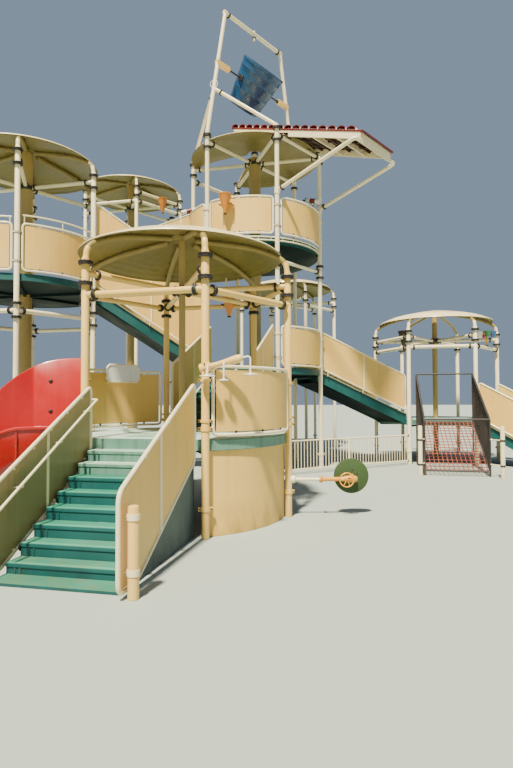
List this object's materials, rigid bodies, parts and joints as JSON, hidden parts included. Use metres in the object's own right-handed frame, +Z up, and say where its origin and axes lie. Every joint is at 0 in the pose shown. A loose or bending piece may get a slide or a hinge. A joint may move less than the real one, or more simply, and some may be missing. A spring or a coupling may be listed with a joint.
{
  "type": "water slide tower",
  "caption": "Aquatic play structure of round-roofed hexagonal towers on tube posts, joined by stairs, with an open slide and a large tipping bucket over a tiled roof.",
  "frame": {"origin": "foot of the front tower's centre post, on the ground at the water line", "axes": "+Z up; -Y towards the entry stair; +X to the right when looking up that stair"},
  "size_m": [15.7801, 17.7331, 12.46],
  "materials": {
    "sand_paint": "semi-gloss powder coat, yellow sand",
    "cream_paint": "semi-gloss powder coat, cream white",
    "yellow_paint": "gloss paint, yellow",
    "black_paint": "satin black",
    "canopy_plastic": "moulded shell, cream outside, olive inside",
    "tan_panel": "smooth sheet, tan, in a white tube frame",
    "teal_deck": "textured non-slip, teal",
    "pale_green_deck": "textured non-slip, pale green",
    "red_plastic": "gloss red",
    "blue_plastic": "gloss blue",
    "orange_plastic": "gloss orange",
    "yellow_plastic": "gloss, each cup its own colour",
    "white_plastic": "gloss white with red-brown bands",
    "black_plastic": "gloss black",
    "green_mat": "dull dark green",
    "dark_red_tile": "moulded barrel tiles, dark red",
    "rope": "twisted rope, red brown"
  },
  "bodies": {
    "structure": {"front_frame": "sand_paint", "front_canopy": "canopy_plastic", "front_deck": "pale_green_deck", "front_skirt_wall": "sand_paint", "front_rail_panel": "tan_panel", "front_back_panel": "tan_panel", "entry_stair": "teal_deck", "entry_rail_right": "tan_panel", "entry_rail_left": "tan_panel", "entry_bollard": "sand_paint", "red_slide": "red_plastic", "shower_club": "cream_paint", "valve_arm": "yellow_paint", "green_disc": "green_mat", "tall_frame": "cream_paint", "tall_canopy": "canopy_plastic", "bucket_frame": "cream_paint", "tall_upper_deck": "teal_deck", "tall_mid_deck": "teal_deck", "tall_rail_front": "tan_panel", "tall_rail_right": "tan_panel", "tall_rail_left": "tan_panel", "tall_mid_rail": "tan_panel", "tile_roof": "dark_red_tile", "front_stair_steps": "teal_deck", "front_stair_rail_left": "tan_panel", "front_stair_rail_right": "tan_panel", "left_stair_steps": "teal_deck", "left_stair_rail_left": "tan_panel", "left_stair_rail_right": "tan_panel", "right_stair_steps": "teal_deck", "right_stair_rail_left": "tan_panel", "right_stair_rail_right": "tan_panel", "left_frame": "cream_paint", "left_canopy": "canopy_plastic", "left_deck": "teal_deck", "left_rail_right": "tan_panel", "left_rail_left": "tan_panel", "second_frame": "cream_paint", "second_canopy": "canopy_plastic", "second_deck": "teal_deck", "right_frame": "cream_paint", "right_canopy": "canopy_plastic", "right_deck": "pale_green_deck", "exit_stair": "teal_deck", "net_frame": "black_paint", "rope_net": "rope", "colour_cups": "yellow_plastic", "fence": "cream_paint", "far_frame": "cream_paint", "far_canopy": "canopy_plastic", "far_deck": "teal_deck"},
    "bucket": {"tipping_bucket": "blue_plastic"},
    "wheel": {"valve_wheel": "yellow_paint"},
    "right_cannon": {"cannon_right": "white_plastic"},
    "left_cannon": {"cannon_left": "white_plastic"},
    "front_cup": {"front_cone": "orange_plastic"},
    "tall_cup": {"tall_cone": "orange_plastic"},
    "second_cup": {"second_cone": "orange_plastic"},
    "right_cup": {"right_cone": "black_plastic"}
  },
  "joints": [
    {"name": "bucket_tip", "type": "hinge", "parent": "structure", "child": "bucket", "pos_m": [0, 5.98, 10.85], "axis": [0.5, 0.866, 0], "range_deg": [-45, 60]},
    {"name": "wheel_turn", "type": "hinge", "parent": "structure", "child": "wheel", "pos_m": [2.7664, 0.09169, 0.6], "axis": [-0.2079, 0.9781, 0], "continuous": true},
    {"name": "right_cannon_swivel", "type": "hinge", "parent": "structure", "child": "right_cannon", "pos_m": [1.70845, 5.32419, 7.159], "axis": [0, 0, 1], "range_deg": [-40, 40]},
    {"name": "left_cannon_swivel", "type": "hinge", "parent": "structure", "child": "left_cannon", "pos_m": [-1.70845, 5.32419, 7.159], "axis": [0, 0, 1], "range_deg": [-40, 40]},
    {"name": "front_cone_tip", "type": "hinge", "parent": "structure", "child": "front_cup", "pos_m": [0.4758, 1.34483, 3.763], "axis": [-1, 0, 0], "range_deg": [-30, 30]},
    {"name": "tall_cone_tip", "type": "hinge", "parent": "structure", "child": "tall_cup", "pos_m": [-0.30954, 3.93327, 6.745], "axis": [0.9888, -0.1495, 0], "range_deg": [-5, 50]},
    {"name": "second_cone_tip", "type": "hinge", "parent": "structure", "child": "second_cup", "pos_m": [-3.61679, 8.02589, 8.43], "axis": [0.5, 0.866, 0], "range_deg": [-30, 30]},
    {"name": "right_cone_tip", "type": "hinge", "parent": "structure", "child": "right_cup", "pos_m": [4.16058, 8.04401, 3.723], "axis": [0.5, -0.866, 0], "range_deg": [-30, 30]}
  ]
}
